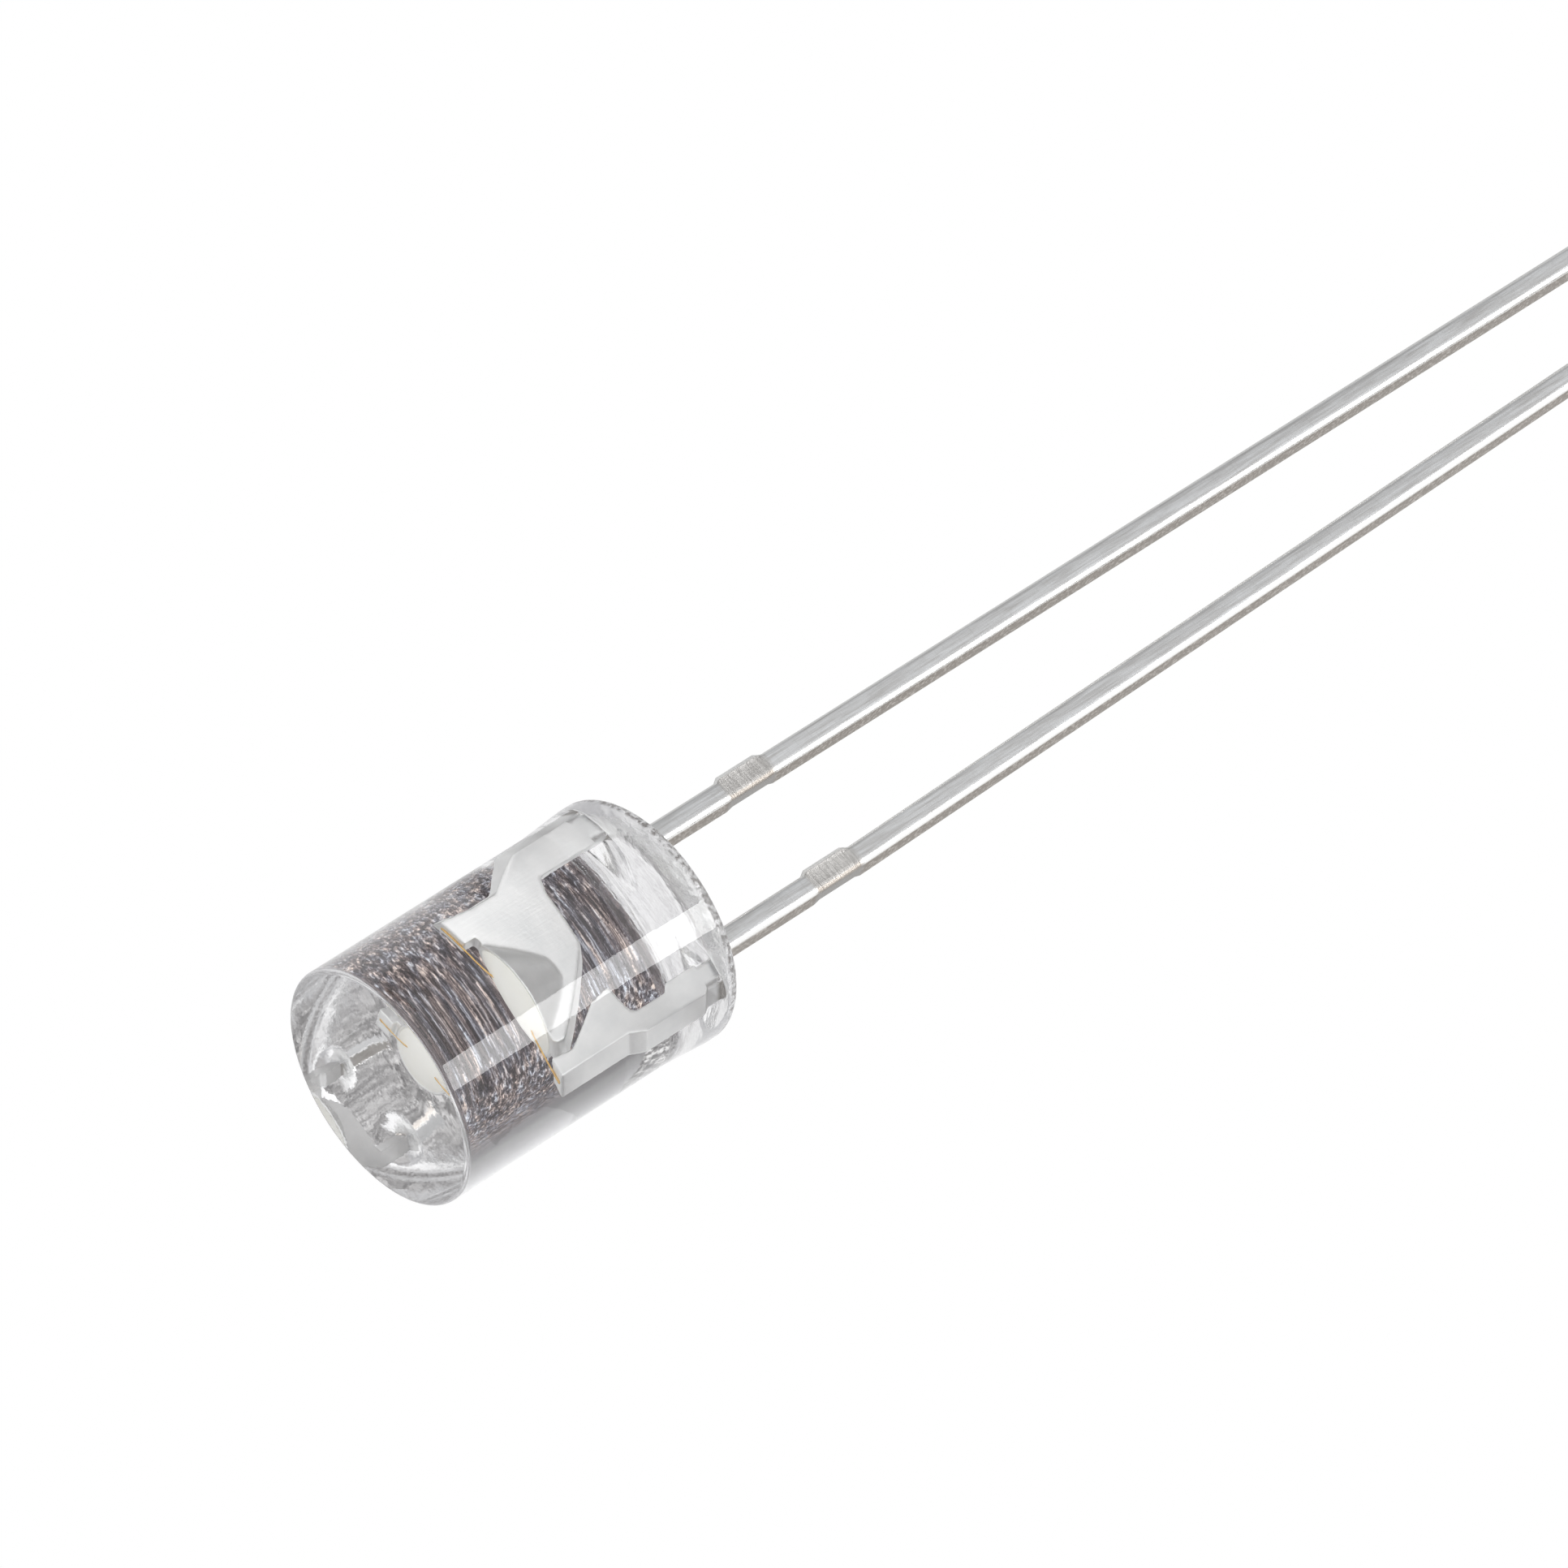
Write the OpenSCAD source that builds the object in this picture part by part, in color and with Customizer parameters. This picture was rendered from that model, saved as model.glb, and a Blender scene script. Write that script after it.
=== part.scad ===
// Clear 5 mm through-hole LED with a flangeless body and a flat front face.
// Millimetres. The origin is the centre of the base face, +Z runs to the lens front,
// the leads leave towards -Z, and the cathode with the chip's cup is on the +X side.

/* [Lens body] */
// Diameter of the straight barrel
lens_d = 5.0; // [4.6:0.1:8]
// Height from the base face to the front face
lens_h = 6.8; // [5.6:0.1:10]
// How far the foot of the barrel stands out past the barrel, on the radius
foot_flare = 0.08; // [0.01:0.01:0.2]
// Height over which the foot runs out into the barrel
foot_h = 1.4; // [0.8:0.1:2.5]
// Radius of the edge round the base
foot_fillet = 0.2; // [0.05:0.05:0.5]
// Height of the straight band between that edge and the run-out
foot_band = 0.2; // [0.05:0.05:0.4]
// Radius of the edge round the front face
front_edge = 0.09; // [0.02:0.01:0.2]

/* [Leads] */
// Distance between the two lead centres
pitch = 2.54; // [2.1:0.02:3.1]
// Width of a lead across the pair
lead_w = 0.5; // [0.4:0.05:0.6]
// Thickness of the stamped leadframe sheet
sheet_t = 0.5; // [0.4:0.05:0.6]
// Radius on the long edges of a lead
lead_edge = 0.08; // [0.02:0.01:0.12]
// Length of the cathode lead below the base
cathode_len = 27; // [10:0.1:34]
// Length of the anode lead below the base, the longer of the two
anode_len = 28.5; // [10:0.1:36]
// Angle at which the anode lead closes in on the cathode lead
anode_lean = 1.2; // [0:0.1:1.8]

/* [Dam bar stubs] */
// Distance from the base to the pressed zone where the tie bar was cut away
stub_start = 3.0; // [1.5:0.1:5]
// Length of the pressed zone
stub_len = 1.2; // [0.6:0.1:2]
// Width of the pressed zone
stub_w = 0.66; // [0.6:0.02:0.9]
// Thickness of the pressed zone
stub_t = 0.34; // [0.2:0.02:0.4]
// Length of the slope at each end of the pressed zone
stub_slope = 0.14; // [0.05:0.01:0.25]

/* [Leadframe heads] */
// Height of the ear's and the post's tips above the base
head_top = 4.02; // [3.8:0.02:4.4]
// How far the cup's mouth lies below the tips
cup_drop = 0.22; // [0.14:0.02:0.3]
// Height of the anvil's underside where it meets its leg
anvil_seat = 1.85; // [1.4:0.05:2.1]
// How far the underside runs out from the leg before it slants
anvil_heel = 0.2; // [0.14:0.02:0.3]
// How far the underside climbs from the leg to the anvil's chin
anvil_climb = 0.32; // [0.2:0.02:0.5]
// How far the underside's corners lie below its seat and its chin
underside_sag = 0.04; // [0:0.01:0.08]
// Distance of the chin from the middle of the body
anvil_chin = 0.08; // [0:0.02:0.3]
// Height of the anvil's upright end beside the post
anvil_end = 0.26; // [0.2:0.02:0.5]
// How far the anvil stands past the cup's mouth, towards the post
anvil_lip = 0.22; // [0.12:0.02:0.3]
// Width of the notch between the cup's mouth and the bonding ear
notch_w = 0.15; // [0.12:0.01:0.3]
// Depth of that notch
notch_depth = 0.06; // [0.04:0.02:0.2]
// Width of the bonding ear
ear_w = 0.4; // [0.3:0.02:0.5]
// How far the side draws in below the ear
waist_in = 0.07; // [0:0.01:0.1]
// Distance from the tips down to the top of that waist
waist_drop = 0.7; // [0.5:0.05:0.9]
// Height of the waist's lower end above the anvil's seat
waist_rise = 0.87; // [0.7:0.01:1]
// How far below the anvil's seat the side meets the leg
flank_drop = 0.1; // [0.04:0.02:0.2]
// Gap between the anvil and the post's tip
head_gap = 0.16; // [0.12:0.02:0.4]
// Height above the base at which a plain lead meets its stamped head
neck_z = 0.3; // [0.2:0.05:0.5]
// Width of the post's tip
post_w = 0.39; // [0.25:0.01:0.5]
// How far the lower post stands out past its tip, on the outside
post_step = 0.18; // [0.1:0.02:0.24]
// Height of the shoulder of that step above the anvil's seat
shoulder_rise = 0.1; // [0.04:0.02:0.2]
// Height over which the side slants in from the shoulder
shoulder_slope = 0.38; // [0.3:0.02:0.5]
// Height above the neck at which the lower post reaches its full width
shoulder_foot = 0.15; // [0.1:0.05:0.3]
// Height over which it widens from the leg
foot_slope = 0.1; // [0.06:0.02:0.14]
// Height above the base of the step on the post's inner side
heel_z = 1.24; // [1:0.02:1.4]
// Height over which that step slants
heel_slope = 0.12; // [0.08:0.02:0.2]
// How far the post's inner side steps back there, past the inner side of its tip
heel_step = 0.1; // [0.04:0.02:0.16]
// Height above the anvil's seat of the round notch under the elbow
notch_rise = 0.2; // [0.16:0.02:0.24]
// How far the post's elbow reaches inwards past its tip
post_elbow = 0.4; // [0.2:0.02:0.44]
// How far the elbow's lower corner stands out past its upper corner
elbow_jut = 0.07; // [0:0.01:0.08]
// Height of the elbow's lower corner above the anvil's seat
elbow_low = 0.34; // [0.3:0.02:0.4]
// Height of the elbow's upright side
elbow_side = 0.5; // [0.4:0.02:0.6]
// How far the tip leans in above the elbow
post_kink = 0.06; // [0.02:0.01:0.1]
// Radius of the round notch under the elbow
elbow_r = 0.22; // [0.1:0.02:0.24]
// Radius of the small rounds in the stamped outline
stamp_r = 0.06; // [0.02:0.01:0.08]
// Radius of the large rounds in the stamped outline
sweep_r = 0.12; // [0.06:0.02:0.14]
// Radius of the shallow bends at the anvil's waist
waist_r = 0.3; // [0.2:0.05:0.4]
// Radius of the shallow bends at the anvil's flank
flank_r = 0.2; // [0.1:0.05:0.25]
// Radius of the tips' corners
tip_r = 0.03; // [0.01:0.01:0.05]
// Radius of the corner where the notch meets the ear
notch_r = 0.02; // [0.01:0.01:0.03]

/* [Cup and chip] */
// Radius of the cup's mouth
cup_r = 0.68; // [0.56:0.02:0.84]
// Radius of the cup's floor
cup_floor_r = 0.4; // [0.3:0.02:0.5]
// Depth of the cup
cup_depth = 0.42; // [0.3:0.02:0.6]
// Thickness of the cup's wall at the mouth
cup_wall = 0.08; // [0.06:0.01:0.14]
// Height over which the cup's round wall runs out into the sheet
barrel_h = 0.9; // [0.7:0.05:1.1]
// How far the foot of that wall stands out past the sheet's faces
barrel_foot_out = 0.04; // [0.02:0.01:0.1]
// Side of the square chip
chip_side = 0.3; // [0.2:0.02:0.4]
// Height of the chip
chip_h = 0.1; // [0.08:0.01:0.15]
// Thickness of the adhesive under the chip
glue_t = 0.02; // [0.01:0.01:0.04]
// How far the adhesive spreads past the chip's corners
glue_spread = 0.04; // [0.01:0.01:0.08]
// How far the phosphor fill domes up past the cup's mouth
fill_rise = 0.24; // [0.16:0.02:0.3]

/* [Bond wires] */
// Diameter of a bond wire
wire_d = 0.03; // [0.02:0.002:0.032]
// Height of a wire's centre line above its land
loop_h = 0.03; // [0.02:0.005:0.05]
// How far inside the cup's mouth a wire starts to fall
wire_dive = 0.13; // [0:0.01:0.2]
// Angle at which it falls from there to the chip
wire_slope = 24; // [16:1:30]
// Diameter of a wire's knees
knee_d = 0.036; // [0.034:0.002:0.04]
// Distance of the first bond from the middle of the chip
pad_offset = 0.08; // [0.04:0.01:0.1]
// Diameter of the ball at the first bond
ball_d = 0.07; // [0.05:0.01:0.1]
// Height of the ball at the first bond
ball_h = 0.02; // [0.01:0.005:0.04]
// Distance of the second bond from the outer edge of its land
bond_inset = 0.16; // [0.12:0.02:0.2]
// Diameter of the stitch at the second bond
stitch_d = 0.08; // [0.06:0.01:0.12]
// Height of the stitch at the second bond
stitch_h = 0.04; // [0.03:0.005:0.06]

/* [Hidden] */
round_fn = 96;
small_fn = 48;
arc_steps = 6;
// Two solids of one piece share this much where they meet
lap = 0.04;
lens_r = lens_d / 2;
foot_r = lens_r + foot_flare;
leg_x = pitch / 2;
leg_in = leg_x - lead_w / 2;
leg_out = leg_x + lead_w / 2;
cup_top = head_top - cup_drop;
cup_floor_z = cup_top - cup_depth;
glue_top = cup_floor_z + glue_t;
chip_top = glue_top + chip_h;
glue_r = chip_side / sqrt(2) + glue_spread;
barrel_r = cup_r + cup_wall;
barrel_foot_r = sheet_t / 2 + barrel_foot_out;
dome_r = (cup_r * cup_r + fill_rise * fill_rise) / (2 * fill_rise);
land_z = head_top + loop_h;
anvil_reach = cup_r + anvil_lip;
chin_z = anvil_seat + anvil_climb;
ear_in = cup_r + notch_w;
ear_reach = ear_in + ear_w;
waist_x = ear_reach - waist_in;
waist_z = anvil_seat + waist_rise;
post_in = anvil_reach + head_gap;
post_out = post_in + post_w;
shoulder_z = anvil_seat + shoulder_rise;
heel_x = post_in + heel_step;
elbow_x = post_in - post_elbow;
elbow_z = anvil_seat + elbow_low;
foot_z = neck_z + shoulder_foot;
ear_bond_x = ear_reach - bond_inset;
post_bond_x = post_out - bond_inset;
dive_x = cup_r - wire_dive;

function unit(v) = v / norm(v);

// The arc that rounds corner q, between its neighbours p and s. The third number of q is the radius,
// and the arc goes the short way round, so its turn is between -180 and 180 degrees.
function rounded_corner(p, q, s) =
  let(
    at = [q[0], q[1]],
    to_p = unit([p[0], p[1]] - at),
    to_s = unit([s[0], s[1]] - at),
    half = acos(to_p * to_s) / 2,
    centre = at + unit(to_p + to_s) * q[2] / sin(half),
    from = at + to_p * q[2] / tan(half) - centre,
    to = at + to_s * q[2] / tan(half) - centre,
    a = atan2(from[1], from[0]),
    turn = (atan2(to[1], to[0]) - a + 900) % 360 - 180
  )
  q[2] == 0 ? [at] : [
    for (i = [0 : arc_steps])
      centre + q[2] * [cos(a + turn * i / arc_steps), sin(a + turn * i / arc_steps)]
  ];

// An outline whose corners are [x, y, radius]
function rounded_outline(pts) =
  let(n = len(pts))
  [
    for (i = [0 : n - 1])
      each rounded_corner(pts[(i + n - 1) % n], pts[i], pts[(i + 1) % n])
  ];

// A flat stamping in the X-Z plane, centred on the leads' plane
module stamping(pts, thickness) {
  rotate([90, 0, 0])
    translate([0, 0, -thickness / 2])
      linear_extrude(thickness)
        polygon(rounded_outline(pts));
}

// A straight length of lead between two heights, centred on the Z axis
module lead_bar(z0, z1) {
  translate([0, 0, z0])
    linear_extrude(z1 - z0)
      polygon(rounded_outline([
        [-lead_w / 2, -sheet_t / 2, lead_edge],
        [lead_w / 2, -sheet_t / 2, lead_edge],
        [lead_w / 2, sheet_t / 2, lead_edge],
        [-lead_w / 2, sheet_t / 2, lead_edge]
      ]));
}

// Outline of the pressed zone, from half-width a at its ends to half-width b
function stub_side(a, b) =
  let(top = -stub_start, low = -stub_start - stub_len)
  [
    [-a, top, 0],
    [a, top, 0],
    [b, top - stub_slope, 0],
    [b, low + stub_slope, 0],
    [a, low, 0],
    [-a, low, 0],
    [-b, low + stub_slope, 0],
    [-b, top - stub_slope, 0]
  ];

// The pressed zone that the cut tie bar leaves: wider and thinner than the lead
module dam_bar_stub() {
  intersection() {
    stamping(stub_side(lead_w / 2, stub_w / 2), sheet_t);
    rotate([0, 0, 90])
      stamping(stub_side(sheet_t / 2, stub_t / 2), stub_w);
  }
}

// One lead from inside the body to its tip. It leans by the given angle below the pressed zone.
module lead(length, lean) {
  bend_z = -stub_start - stub_len;
  lead_bar(-stub_start, neck_z);
  dam_bar_stub();
  translate([0, 0, bend_z])
    rotate([0, lean, 0])
      lead_bar(-length - bend_z, lap);
}

// The anvil: a leg, a slanted underside, the cup's seat, and an ear beside the cup
module anvil_plate() {
  stamping([
    [leg_in, neck_z - lap, 0],
    [leg_in, anvil_seat - underside_sag, sweep_r],
    [leg_in - anvil_heel, anvil_seat + sweep_r, sweep_r],
    [anvil_chin, chin_z - underside_sag, sweep_r],
    [-anvil_reach, cup_top - anvil_end, sweep_r],
    [-anvil_reach, cup_top, sweep_r],
    [cup_r, cup_top, 0],
    [cup_r + notch_depth, cup_top - notch_depth, 0],
    [ear_in, cup_top - notch_depth, notch_r],
    [ear_in, head_top, tip_r],
    [ear_reach, head_top, tip_r],
    [waist_x, head_top - waist_drop, waist_r],
    [waist_x, waist_z, flank_r],
    [leg_out, anvil_seat - flank_drop, flank_r],
    [leg_out, neck_z - lap, 0]
  ], sheet_t);
}

module cathode_lead() {
  color("lightsteelblue")
    difference() {
      union() {
        translate([leg_x, 0, 0])
          lead(cathode_len, 0);
        anvil_plate();
        cup_barrel();
      }
      cup_space();
    }
}

// The round wall of the cup, which swells out of the flat anvil
module cup_barrel() {
  translate([0, 0, cup_top - barrel_h])
    cylinder(h = barrel_h, r1 = barrel_foot_r, r2 = barrel_r, $fn = round_fn);
}

// What the cup holds
module cup_space() {
  translate([0, 0, cup_floor_z])
    cylinder(h = cup_depth, r1 = cup_floor_r, r2 = cup_r, $fn = round_fn);
}

// The post: a leg with a shoulder, a round notch, an elbow, and a tip for the wire
module post_plate() {
  mirror([1, 0, 0])
    stamping([
      [leg_in, neck_z - lap, 0],
      [leg_in, heel_z - heel_slope, stamp_r],
      [heel_x, heel_z, stamp_r],
      [heel_x, anvil_seat + notch_rise, elbow_r],
      [elbow_x - elbow_jut, elbow_z, stamp_r],
      [elbow_x, elbow_z + elbow_side, stamp_r],
      [post_in + post_kink, cup_top - anvil_end, stamp_r],
      [post_in, head_top, tip_r],
      [post_out, head_top, tip_r],
      [post_out, shoulder_z + shoulder_slope, stamp_r],
      [post_out + post_step, shoulder_z, stamp_r],
      [post_out + post_step, foot_z, stamp_r],
      [leg_out, foot_z - foot_slope, 0],
      [leg_out, neck_z - lap, 0]
    ], sheet_t);
}

module anode_lead() {
  color("lightsteelblue") {
    translate([-leg_x, 0, 0])
      lead(anode_len, -anode_lean);
    post_plate();
  }
}

module die_attach() {
  color("gainsboro")
    translate([0, 0, cup_floor_z])
      cylinder(h = glue_t, r = glue_r, $fn = small_fn);
}

module led_chip() {
  color("lightcyan")
    translate([-chip_side / 2, -chip_side / 2, glue_top])
      cube([chip_side, chip_side, chip_h]);
}

// A wire from the chip at x0 to a land at x1: a ball, a riser, a fall, a level run
// and a stitch, with a knee at each turn. It is drawn towards +X.
module bond_wire(x0, x1) {
  fall = dive_x - x0;
  knee_z = land_z - fall * tan(wire_slope);
  translate([x0, 0, chip_top])
    cylinder(h = ball_h, d = ball_d, $fn = small_fn);
  translate([x0, 0, chip_top + ball_h])
    cylinder(h = knee_z - chip_top - ball_h, d = wire_d, $fn = small_fn);
  translate([x0, 0, knee_z])
    sphere(d = knee_d, $fn = small_fn);
  translate([dive_x, 0, land_z]) {
    sphere(d = knee_d, $fn = small_fn);
    rotate([0, -90 - wire_slope, 0])
      cylinder(h = fall / cos(wire_slope), d = wire_d, $fn = small_fn);
    rotate([0, 90, 0])
      cylinder(h = x1 - dive_x, d = wire_d, $fn = small_fn);
  }
  translate([x1, 0, head_top])
    cylinder(h = stitch_h, d = stitch_d, $fn = small_fn);
}

module cathode_bond_wire() {
  color("gold")
    bond_wire(pad_offset, ear_bond_x);
}

module anode_bond_wire() {
  color("gold")
    mirror([1, 0, 0])
      bond_wire(pad_offset, post_bond_x);
}

// The fill up to the cup's mouth, and the dome over it
module fill_blank() {
  cup_space();
  intersection() {
    translate([0, 0, cup_top + fill_rise - dome_r])
      sphere(r = dome_r, $fn = round_fn);
    translate([0, 0, cup_top])
      cylinder(h = 2 * fill_rise, r = barrel_r, $fn = round_fn);
  }
}

module phosphor_fill() {
  color("palegoldenrod")
    difference() {
      fill_blank();
      die_attach();
      led_chip();
      cathode_bond_wire();
      anode_bond_wire();
    }
}

// The body without anything in it
module lens_blank() {
  rotate_extrude($fn = round_fn)
    polygon(rounded_outline([
      [0, 0, 0],
      [foot_r, 0, foot_fillet],
      [foot_r, foot_fillet + foot_band, 0],
      [lens_r, foot_h, 0],
      [lens_r, lens_h, front_edge],
      [0, lens_h, 0]
    ]));
}

module lens_body() {
  color("white", 0.35)
    difference() {
      lens_blank();
      cathode_lead();
      anode_lead();
      die_attach();
      led_chip();
      phosphor_fill();
      cathode_bond_wire();
      anode_bond_wire();
    }
}

lens_body();
cathode_lead();
anode_lead();
die_attach();
led_chip();
phosphor_fill();
cathode_bond_wire();
anode_bond_wire();
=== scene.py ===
import math

import bmesh
import bpy
from mathutils import Matrix, Vector


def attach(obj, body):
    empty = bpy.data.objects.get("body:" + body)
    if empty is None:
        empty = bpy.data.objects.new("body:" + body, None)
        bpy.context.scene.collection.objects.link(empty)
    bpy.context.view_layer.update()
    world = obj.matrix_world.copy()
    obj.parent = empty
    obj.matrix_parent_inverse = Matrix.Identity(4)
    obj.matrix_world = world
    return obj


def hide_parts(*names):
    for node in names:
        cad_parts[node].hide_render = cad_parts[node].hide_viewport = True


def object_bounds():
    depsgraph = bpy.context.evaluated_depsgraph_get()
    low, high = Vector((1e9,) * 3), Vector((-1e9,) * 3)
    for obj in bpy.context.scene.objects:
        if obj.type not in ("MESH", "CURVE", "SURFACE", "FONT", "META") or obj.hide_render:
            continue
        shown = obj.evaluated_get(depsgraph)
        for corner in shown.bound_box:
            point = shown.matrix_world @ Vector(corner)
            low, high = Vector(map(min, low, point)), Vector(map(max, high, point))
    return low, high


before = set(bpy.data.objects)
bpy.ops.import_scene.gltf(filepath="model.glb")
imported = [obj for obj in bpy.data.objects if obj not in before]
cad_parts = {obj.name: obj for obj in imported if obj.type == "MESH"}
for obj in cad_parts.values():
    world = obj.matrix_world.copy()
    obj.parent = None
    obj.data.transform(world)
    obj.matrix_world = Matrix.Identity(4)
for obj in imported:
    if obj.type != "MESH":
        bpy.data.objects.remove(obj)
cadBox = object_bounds()
mm = 0.001
hair = 0.001     # mm, tolerance for what lies on a place exactly
slack = 0.01     # mm, tolerance for what lies near one
merging = 0.0001   # mm, verts closer than this are one
facing = 0.99    # a face points up or down when its normal goes this far that way


# Small helpers

def clearSelection():
    if bpy.context.object and bpy.context.object.mode != "OBJECT":
        bpy.ops.object.mode_set(mode="OBJECT")
    bpy.ops.object.select_all(action="DESELECT")


def useOnly(obj):
    clearSelection()
    obj.select_set(True)
    bpy.context.view_layer.objects.active = obj


def justAdded(name):
    obj = bpy.context.object
    obj.name = name
    obj.data.name = name
    return obj


def applyPlace(obj):
    useOnly(obj)
    bpy.ops.object.transform_apply(location=True, rotation=True, scale=True)


def editPick(kind, test):
    # leaves only the verts, edges or faces that pass the test selected
    mesh = bpy.context.object.data
    bpy.ops.mesh.select_mode(type=kind)
    bpy.ops.mesh.select_all(action="DESELECT")
    bm = bmesh.from_edit_mesh(mesh)
    parts = {"VERT": bm.verts, "EDGE": bm.edges, "FACE": bm.faces}[kind]
    parts.ensure_lookup_table()
    for part in parts:
        if test(part):
            part.select = True
    bm.select_flush_mode()
    bmesh.update_edit_mesh(mesh)


def levelOf(part):
    return max(v.co.z for v in part.verts)


def push(x, y, z):
    bpy.ops.transform.translate(value=(x, y, z))


def shrinkTo(kx, ky, centre):
    bpy.ops.transform.resize(value=(kx, ky, 1), center_override=centre)


def cutAcross(z, clearBelow=False, clearAbove=False):
    bpy.ops.mesh.select_all(action="SELECT")
    bpy.ops.mesh.bisect(plane_co=(0, 0, z), plane_no=(0, 0, 1),
                        clear_inner=clearBelow, clear_outer=clearAbove)


def applyModifiers(obj):
    useOnly(obj)
    for name in [m.name for m in obj.modifiers]:
        bpy.ops.object.modifier_apply(modifier=name)


def combine(obj, other, how):
    join = obj.modifiers.new(how, "BOOLEAN")
    join.operation = how
    join.object = other
    join.solver = "EXACT"
    applyModifiers(obj)
    bpy.data.objects.remove(other)


def faceOutwards(obj):
    useOnly(obj)
    bpy.ops.object.mode_set(mode="EDIT")
    bpy.ops.mesh.select_all(action="SELECT")
    bpy.ops.mesh.remove_doubles(threshold=merging)
    bpy.ops.mesh.normals_make_consistent(inside=False)
    bpy.ops.object.mode_set(mode="OBJECT")


def finishPiece(obj, material, slot, *nodes):
    # to metres, into the frame, and in place of its CAD nodes
    useOnly(obj)
    obj.scale = (mm, mm, mm)
    bpy.ops.object.transform_apply(location=True, rotation=True, scale=True)
    obj.data.materials.clear()
    obj.data.materials.append(material)
    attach(obj, "root")
    if nodes:
        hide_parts(*nodes)
    print("made", obj.name, len(obj.data.polygons), "faces")


# Camera

view = {
    "azimuth": -21.1,     # degrees round the barrel, 0 looks along +Y
    "elevation": 30.3,    # degrees above the base plane
    "roll": -122.3,       # degrees, turns the camera about its own axis
    "distance": 200.0,    # mm
    "aim": (-1.003, -4.689, -1.303),   # a point on the optical axis, mm
    "fieldWidth": 29.053,   # mm, what the frame takes in at the aim point
    "sensorWidth": 36,      # mm
    "clip": (0.01, 5),      # m
}


def addCamera(spec):
    a, e, r = (math.radians(spec[k]) for k in ("azimuth", "elevation", "roll"))
    back = Vector((math.sin(a) * math.cos(e), -math.cos(a) * math.cos(e), math.sin(e)))
    level = Vector((math.cos(a), math.sin(a), 0))
    right = level * math.cos(r) + back.cross(level) * math.sin(r)
    up = back.cross(right)
    clearSelection()
    bpy.ops.object.camera_add()
    cam = justAdded("mainCamera")
    turn = Matrix((right, up, back)).transposed().to_4x4()
    place = Vector(spec["aim"]) + back * spec["distance"]
    cam.matrix_world = Matrix.Translation(place * mm) @ turn
    cam.data.sensor_width = spec["sensorWidth"]
    cam.data.lens = spec["sensorWidth"] * spec["distance"] / spec["fieldWidth"]
    cam.data.clip_start, cam.data.clip_end = spec["clip"]
    bpy.context.scene.camera = cam
    return cam


camera = addCamera(view)
print("camera at", [round(c, 4) for c in camera.location], "lens", round(camera.data.lens, 1))


# Materials

def newMaterial(name):
    mat = bpy.data.materials.new(name)
    mat.use_nodes = True
    nodes = mat.node_tree.nodes
    return mat, nodes, mat.node_tree.links, nodes["Principled BSDF"]


def placed(nodes, links, stretch):
    # object coordinates in millimetres, stretched along the axes
    coords = nodes.new("ShaderNodeTexCoord")
    mapping = nodes.new("ShaderNodeMapping")
    mapping.inputs["Scale"].default_value = [s / mm for s in stretch]
    links.new(coords.outputs["Object"], mapping.inputs["Vector"])
    return mapping.outputs["Vector"]


def noiseOn(nodes, links, where, scale, detail, rough=0.5):
    # a look gives its noises as (scale, detail, roughness)
    noise = nodes.new("ShaderNodeTexNoise")
    noise.inputs["Scale"].default_value = scale
    noise.inputs["Detail"].default_value = detail
    noise.inputs["Roughness"].default_value = rough
    links.new(where, noise.inputs["Vector"])
    return noise.outputs["Fac"]


def spread(nodes, links, value, low, high, fromLow=0.3, fromHigh=0.7):
    span = nodes.new("ShaderNodeMapRange")
    span.inputs["From Min"].default_value = fromLow
    span.inputs["From Max"].default_value = fromHigh
    span.inputs["To Min"].default_value = low
    span.inputs["To Max"].default_value = high
    links.new(value, span.inputs["Value"])
    return span.outputs["Result"]


def bumpOn(nodes, links, height, strength, depth, normal=None):
    bump = nodes.new("ShaderNodeBump")
    bump.inputs["Strength"].default_value = strength
    bump.inputs["Distance"].default_value = depth * mm
    links.new(height, bump.inputs["Height"])
    if normal:
        links.new(normal, bump.inputs["Normal"])
    return bump.outputs["Normal"]


def blend(nodes, links, amount, first, second):
    # colour blend, amount 0 gives the first
    mix = nodes.new("ShaderNodeMix")
    mix.data_type = "RGBA"
    links.new(amount, mix.inputs["Factor"])
    for socket, value in ((mix.inputs["A"], first), (mix.inputs["B"], second)):
        if hasattr(value, "default_value"):
            links.new(value, socket)
        else:
            socket.default_value = value
    return mix.outputs["Result"]


def stepBetween(nodes, links, value, low, high):
    # 1 between two values and 0 outside them, with a short blend
    edge = 0.06
    up = spread(nodes, links, value, 0, 1, low - edge, low + edge)
    down = spread(nodes, links, value, 1, 0, high - edge, high + edge)
    return product(nodes, links, up, down)


def mathOf(nodes, links, operation, first, second):
    both = nodes.new("ShaderNodeMath")
    both.operation = operation
    links.new(first, both.inputs[0])
    links.new(second, both.inputs[1])
    return both.outputs[0]


def product(nodes, links, first, second):
    return mathOf(nodes, links, "MULTIPLY", first, second)


def sizeOf(nodes, links, value):
    size = nodes.new("ShaderNodeMath")
    size.operation = "ABSOLUTE"
    links.new(value, size.inputs[0])
    return size.outputs[0]


def mixNumber(nodes, links, amount, first, second):
    mix = nodes.new("ShaderNodeMix")
    links.new(amount, mix.inputs["Factor"])
    for socket, value in ((mix.inputs["A"], first), (mix.inputs["B"], second)):
        if hasattr(value, "default_value"):
            links.new(value, socket)
        else:
            socket.default_value = value
    return mix.outputs["Result"]


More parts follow.
